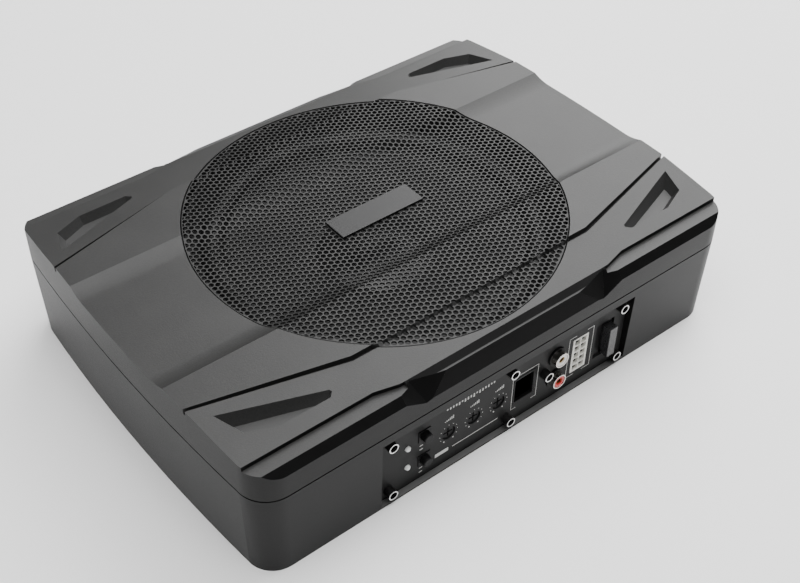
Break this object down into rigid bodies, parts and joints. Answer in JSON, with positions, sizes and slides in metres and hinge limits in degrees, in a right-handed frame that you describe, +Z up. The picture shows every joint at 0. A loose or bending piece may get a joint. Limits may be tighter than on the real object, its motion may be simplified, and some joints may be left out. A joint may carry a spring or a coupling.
{
  "type": "powered car subwoofer",
  "caption": "Slim under-seat powered subwoofer: flat charcoal case with bowed ends, round perforated grille over an up-firing driver and a recessed control panel.",
  "frame": {"origin": "middle of the flat underside, on the surface it stands on", "axes": "+X along the long side, -Y out of the control panel on the long front side, +Z up through the grille"},
  "size_m": [0.29, 0.21, 0.07],
  "materials": {
    "lid_cast": "fine-grained satin powder coat, dark charcoal, on a die-cast aluminium lid",
    "base_cast": "fine-grained satin powder coat, near-black charcoal, on a die-cast aluminium tray",
    "foam": "matt closed-cell sealing foam",
    "grille_steel": "perforated steel, satin charcoal powder coat",
    "badge_metal": "dark anodised plate with a brushed face and a polished edge",
    "bright_steel": "plain zinc-plated steel",
    "panel_steel": "fine-textured black powder coat with white printed marks",
    "black_screw": "black oxide socket-head screws",
    "led_lens": "frosted clear lens",
    "black_plastic": "black moulded plastic",
    "pot_body": "dark green moulded potentiometer body",
    "gold": "gold-flashed contacts",
    "nickel": "nickel plate",
    "white_plastic": "white moulded plastic",
    "red_plastic": "red moulded plastic",
    "ivory_plastic": "ivory moulded plastic",
    "fuse_plastic": "smoky grey translucent moulding",
    "tinned": "tinned zinc blades",
    "green_board": "glass-epoxy circuit board, green solder mask",
    "can_sleeve": "dark blue shrink sleeve with a scored aluminium top",
    "ferrite": "coated ferrite core",
    "copper": "enamelled copper wire",
    "chip_plastic": "moulded black transistor body with tinned legs",
    "alu_plain": "plain extruded aluminium",
    "basket_steel": "pressed steel, black paint",
    "magnet_ferrite": "sintered ferrite, sharp ground faces",
    "plate_steel": "zinc-plated turned steel",
    "surround_foam": "soft rubber half roll",
    "spider_cloth": "resin-stiffened woven cloth",
    "cone_paper": "pressed paper pulp, black",
    "former": "heat-resistant film tube",
    "phenolic": "phenolic strip with tinned tags",
    "lead_wire": "stranded wire in red and black sleeves"
  },
  "bodies": {
    "case": {"lid": "lid_cast", "base_shell": "base_cast", "seam_gasket": "foam", "grille": "grille_steel", "grille_seal": "foam", "badge": "badge_metal", "badge_clips": "bright_steel", "control_panel": "panel_steel", "panel_screws": "black_screw", "power_led": "led_lens", "protect_led": "led_lens", "power_switch": "black_plastic", "auto_switch": "black_plastic", "gain_pot": "pot_body", "crossover_pot": "pot_body", "bass_pot": "pot_body", "remote_socket": "black_plastic", "remote_contacts": "gold", "rca_block": "black_plastic", "rca_sleeves": "nickel", "rca_insert_white": "white_plastic", "rca_insert_red": "red_plastic", "rca_contacts": "gold", "power_connector": "ivory_plastic", "connector_pins": "gold", "fuse_holder": "black_plastic", "control_board": "green_board", "amp_board": "green_board", "board_screws": "bright_steel", "board_link": "ivory_plastic", "capacitors": "can_sleeve", "toroid_core": "ferrite", "toroid_winding": "copper", "transistors": "chip_plastic", "heat_bar": "alu_plain", "clamp_bar": "alu_plain", "clamp_screws": "bright_steel", "lid_screws": "black_screw", "driver_screws": "bright_steel", "basket": "basket_steel", "driver_gasket": "foam", "magnet": "magnet_ferrite", "top_plate": "plate_steel", "yoke": "plate_steel", "surround": "surround_foam", "spider": "spider_cloth", "terminal_strip": "phenolic", "speaker_leads": "lead_wire"},
    "cone_assembly": {"cone": "cone_paper", "dust_cap": "cone_paper", "coil_former": "former", "voice_coil": "copper"},
    "power_button": {"power_button": "black_plastic"},
    "auto_button": {"auto_button": "black_plastic"},
    "gain_knob": {"gain_knob": "black_plastic"},
    "crossover_knob": {"crossover_knob": "black_plastic"},
    "bass_knob": {"bass_knob": "black_plastic"},
    "fuse": {"fuse_body": "fuse_plastic", "fuse_blades": "tinned"}
  },
  "joints": [
    {"name": "cone_slide", "type": "slide", "parent": "case", "child": "cone_assembly", "axis": [0, 0, 1], "range_m": [-0.005, 0.005], "stiffness_N_per_m": 2500, "deforming": ["surround", "spider"]},
    {"name": "power_press", "type": "slide", "parent": "case", "child": "power_button", "axis": [0, 1, 0], "range_m": [0, 0.002], "stiffness_N_per_m": 600, "springref_m": -0.0005},
    {"name": "auto_press", "type": "slide", "parent": "case", "child": "auto_button", "axis": [0, 1, 0], "range_m": [0, 0.002], "stiffness_N_per_m": 600, "springref_m": -0.0005},
    {"name": "gain_turn", "type": "hinge", "parent": "case", "child": "gain_knob", "pos_m": [-0.0362, -0.1, 0.0205], "axis": [0, -1, 0], "range_deg": [-150, 150]},
    {"name": "crossover_turn", "type": "hinge", "parent": "case", "child": "crossover_knob", "pos_m": [-0.021, -0.1, 0.0205], "axis": [0, -1, 0], "range_deg": [-150, 150]},
    {"name": "bass_turn", "type": "hinge", "parent": "case", "child": "bass_knob", "pos_m": [-0.0058, -0.1, 0.0205], "axis": [0, -1, 0], "range_deg": [-150, 150]},
    {"name": "fuse_pull", "type": "slide", "parent": "case", "child": "fuse", "axis": [0, -1, 0], "range_m": [0, 0.015]}
  ]
}
